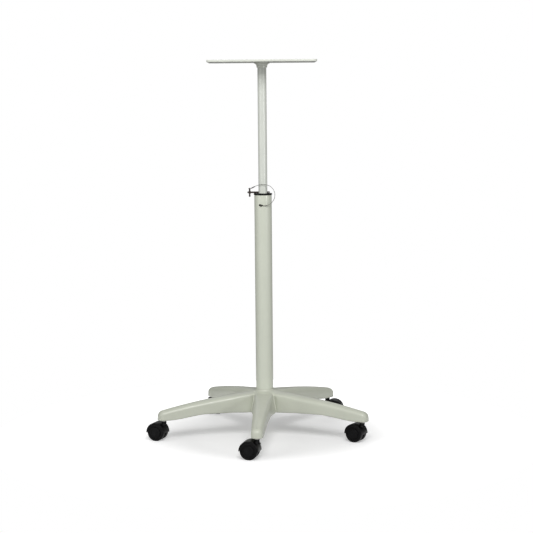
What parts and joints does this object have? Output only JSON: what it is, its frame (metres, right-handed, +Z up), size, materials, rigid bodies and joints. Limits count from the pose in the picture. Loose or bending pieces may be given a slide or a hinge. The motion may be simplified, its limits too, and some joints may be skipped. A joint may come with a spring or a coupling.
{
  "type": "mobile equipment stand",
  "caption": "Height-adjustable pole stand with a flat top plate, a lock pin on a wire lanyard and a five-arm base on twin-wheel casters.",
  "frame": {"origin": "on the floor, in the middle of the footprint's box; the column's axis stands at x 0.0231, y 0.0077", "axes": "+Z up along the column and mast; the top plate's long side and the lock pin lie along X; the front is -Y, and one base arm points there, turned about 4 degrees"},
  "size_m": [0.64, 0.6226, 1.0875],
  "materials": {
    "grey_green_paint": "satin powder coat",
    "mast_paint": "smooth satin coat",
    "plate_paint": "smooth satin coat",
    "black_plastic": "moulded, satin",
    "wheel_rubber": "matt",
    "zinc_steel": "zinc plated",
    "dark_steel": "dark plated"
  },
  "bodies": {
    "root": {"base_star": "grey_green_paint", "column_tube": "grey_green_paint", "column_plug": "zinc_steel", "hub_bolt": "zinc_steel", "hub_washer": "zinc_steel", "collar_bush": "black_plastic", "lanyard_wire": "zinc_steel", "lanyard_ferrule_lower": "dark_steel", "lanyard_eyelet": "dark_steel", "lanyard_screw": "dark_steel", "caster_1_sleeve": "black_plastic", "caster_2_sleeve": "black_plastic", "caster_3_sleeve": "black_plastic", "caster_4_sleeve": "black_plastic", "caster_5_sleeve": "black_plastic"},
    "mast": {"mast_tube": "mast_paint", "mast_end_plug": "zinc_steel", "mast_guide": "black_plastic", "guide_screw": "zinc_steel", "plate_socket": "plate_paint", "socket_grub_screw": "dark_steel", "top_plate": "plate_paint", "plate_screw_1": "zinc_steel", "plate_screw_2": "zinc_steel", "plate_screw_3": "zinc_steel", "plate_screw_4": "zinc_steel"},
    "lock_pin": {"pin_shaft": "dark_steel", "pin_tee_handle": "dark_steel", "pin_ball_front": "zinc_steel", "pin_ball_back": "zinc_steel", "lanyard_ferrule_upper": "dark_steel", "lanyard_loop": "zinc_steel"},
    "pin_button": {"pin_button": "black_plastic", "pin_spindle": "zinc_steel"},
    "caster_1_swivel": {"caster_1_stem": "zinc_steel", "caster_1_hood": "black_plastic", "caster_1_axle": "zinc_steel"},
    "caster_1_left_wheel": {"caster_1_left_wheel": "wheel_rubber"},
    "caster_1_right_wheel": {"caster_1_right_wheel": "wheel_rubber"},
    "caster_2_swivel": {"caster_2_stem": "zinc_steel", "caster_2_hood": "black_plastic", "caster_2_axle": "zinc_steel"},
    "caster_2_left_wheel": {"caster_2_left_wheel": "wheel_rubber"},
    "caster_2_right_wheel": {"caster_2_right_wheel": "wheel_rubber"},
    "caster_3_swivel": {"caster_3_stem": "zinc_steel", "caster_3_hood": "black_plastic", "caster_3_axle": "zinc_steel"},
    "caster_3_left_wheel": {"caster_3_left_wheel": "wheel_rubber"},
    "caster_3_right_wheel": {"caster_3_right_wheel": "wheel_rubber"},
    "caster_4_swivel": {"caster_4_stem": "zinc_steel", "caster_4_hood": "black_plastic", "caster_4_axle": "zinc_steel"},
    "caster_4_left_wheel": {"caster_4_left_wheel": "wheel_rubber"},
    "caster_4_right_wheel": {"caster_4_right_wheel": "wheel_rubber"},
    "caster_5_swivel": {"caster_5_stem": "zinc_steel", "caster_5_hood": "black_plastic", "caster_5_axle": "zinc_steel"},
    "caster_5_left_wheel": {"caster_5_left_wheel": "wheel_rubber"},
    "caster_5_right_wheel": {"caster_5_right_wheel": "wheel_rubber"}
  },
  "joints": [
    {"name": "mast_height", "type": "slide", "parent": "root", "child": "mast", "axis": [0, 0, 1], "range_m": [0, 0.3]},
    {"name": "lock_pin_pull", "type": "slide", "parent": "root", "child": "lock_pin", "axis": [-1, 0, 0], "range_m": [0, 0.045]},
    {"name": "pin_button_press", "type": "slide", "parent": "lock_pin", "child": "pin_button", "axis": [1, 0, 0], "range_m": [0, 0.0025], "stiffness_N_per_m": 400},
    {"name": "caster_1_swivel_turn", "type": "hinge", "parent": "root", "child": "caster_1_swivel", "pos_m": [0.00165, -0.29153, 0.0575], "axis": [0, 0, 1], "continuous": true},
    {"name": "caster_1_left_wheel_spin", "type": "hinge", "parent": "caster_1_swivel", "child": "caster_1_left_wheel", "pos_m": [-0.01815, -0.28623, 0.025], "axis": [-0.2588, -0.9659, 0], "continuous": true},
    {"name": "caster_1_right_wheel_spin", "type": "hinge", "parent": "caster_1_swivel", "child": "caster_1_right_wheel", "pos_m": [-0.01815, -0.28623, 0.025], "axis": [-0.2588, -0.9659, 0], "continuous": true},
    {"name": "caster_2_swivel_turn", "type": "hinge", "parent": "root", "child": "caster_2_swivel", "pos_m": [0.30106, -0.10517, 0.0575], "axis": [0, 0, 1], "continuous": true},
    {"name": "caster_2_left_wheel_spin", "type": "hinge", "parent": "caster_2_swivel", "child": "caster_2_left_wheel", "pos_m": [0.28367, -0.0943, 0.025], "axis": [-0.5299, -0.848, 0], "continuous": true},
    {"name": "caster_2_right_wheel_spin", "type": "hinge", "parent": "caster_2_swivel", "child": "caster_2_right_wheel", "pos_m": [0.28367, -0.0943, 0.025], "axis": [-0.5299, -0.848, 0], "continuous": true},
    {"name": "caster_3_swivel_turn", "type": "hinge", "parent": "root", "child": "caster_3_swivel", "pos_m": [0.21634, 0.23718, 0.0575], "axis": [0, 0, 1], "continuous": true},
    {"name": "caster_3_left_wheel_spin", "type": "hinge", "parent": "caster_3_swivel", "child": "caster_3_left_wheel", "pos_m": [0.23653, 0.23362, 0.025], "axis": [0.1736, 0.9848, 0], "continuous": true},
    {"name": "caster_3_right_wheel_spin", "type": "hinge", "parent": "caster_3_swivel", "child": "caster_3_right_wheel", "pos_m": [0.23653, 0.23362, 0.025], "axis": [0.1736, 0.9848, 0], "continuous": true},
    {"name": "caster_4_swivel_turn", "type": "hinge", "parent": "root", "child": "caster_4_swivel", "pos_m": [-0.13543, 0.26239, 0.0575], "axis": [0, 0, 1], "continuous": true},
    {"name": "caster_4_left_wheel_spin", "type": "hinge", "parent": "caster_4_swivel", "child": "caster_4_left_wheel", "pos_m": [-0.13543, 0.28289, 0.025], "axis": [-1, 0, 0], "continuous": true},
    {"name": "caster_4_right_wheel_spin", "type": "hinge", "parent": "caster_4_swivel", "child": "caster_4_right_wheel", "pos_m": [-0.13543, 0.28289, 0.025], "axis": [-1, 0, 0], "continuous": true},
    {"name": "caster_5_swivel_turn", "type": "hinge", "parent": "root", "child": "caster_5_swivel", "pos_m": [-0.26811, -0.06437, 0.0575], "axis": [0, 0, 1], "continuous": true},
    {"name": "caster_5_left_wheel_spin", "type": "hinge", "parent": "caster_5_swivel", "child": "caster_5_left_wheel", "pos_m": [-0.28698, -0.05636, 0.025], "axis": [-0.3907, -0.9205, 0], "continuous": true},
    {"name": "caster_5_right_wheel_spin", "type": "hinge", "parent": "caster_5_swivel", "child": "caster_5_right_wheel", "pos_m": [-0.28698, -0.05636, 0.025], "axis": [-0.3907, -0.9205, 0], "continuous": true}
  ]
}
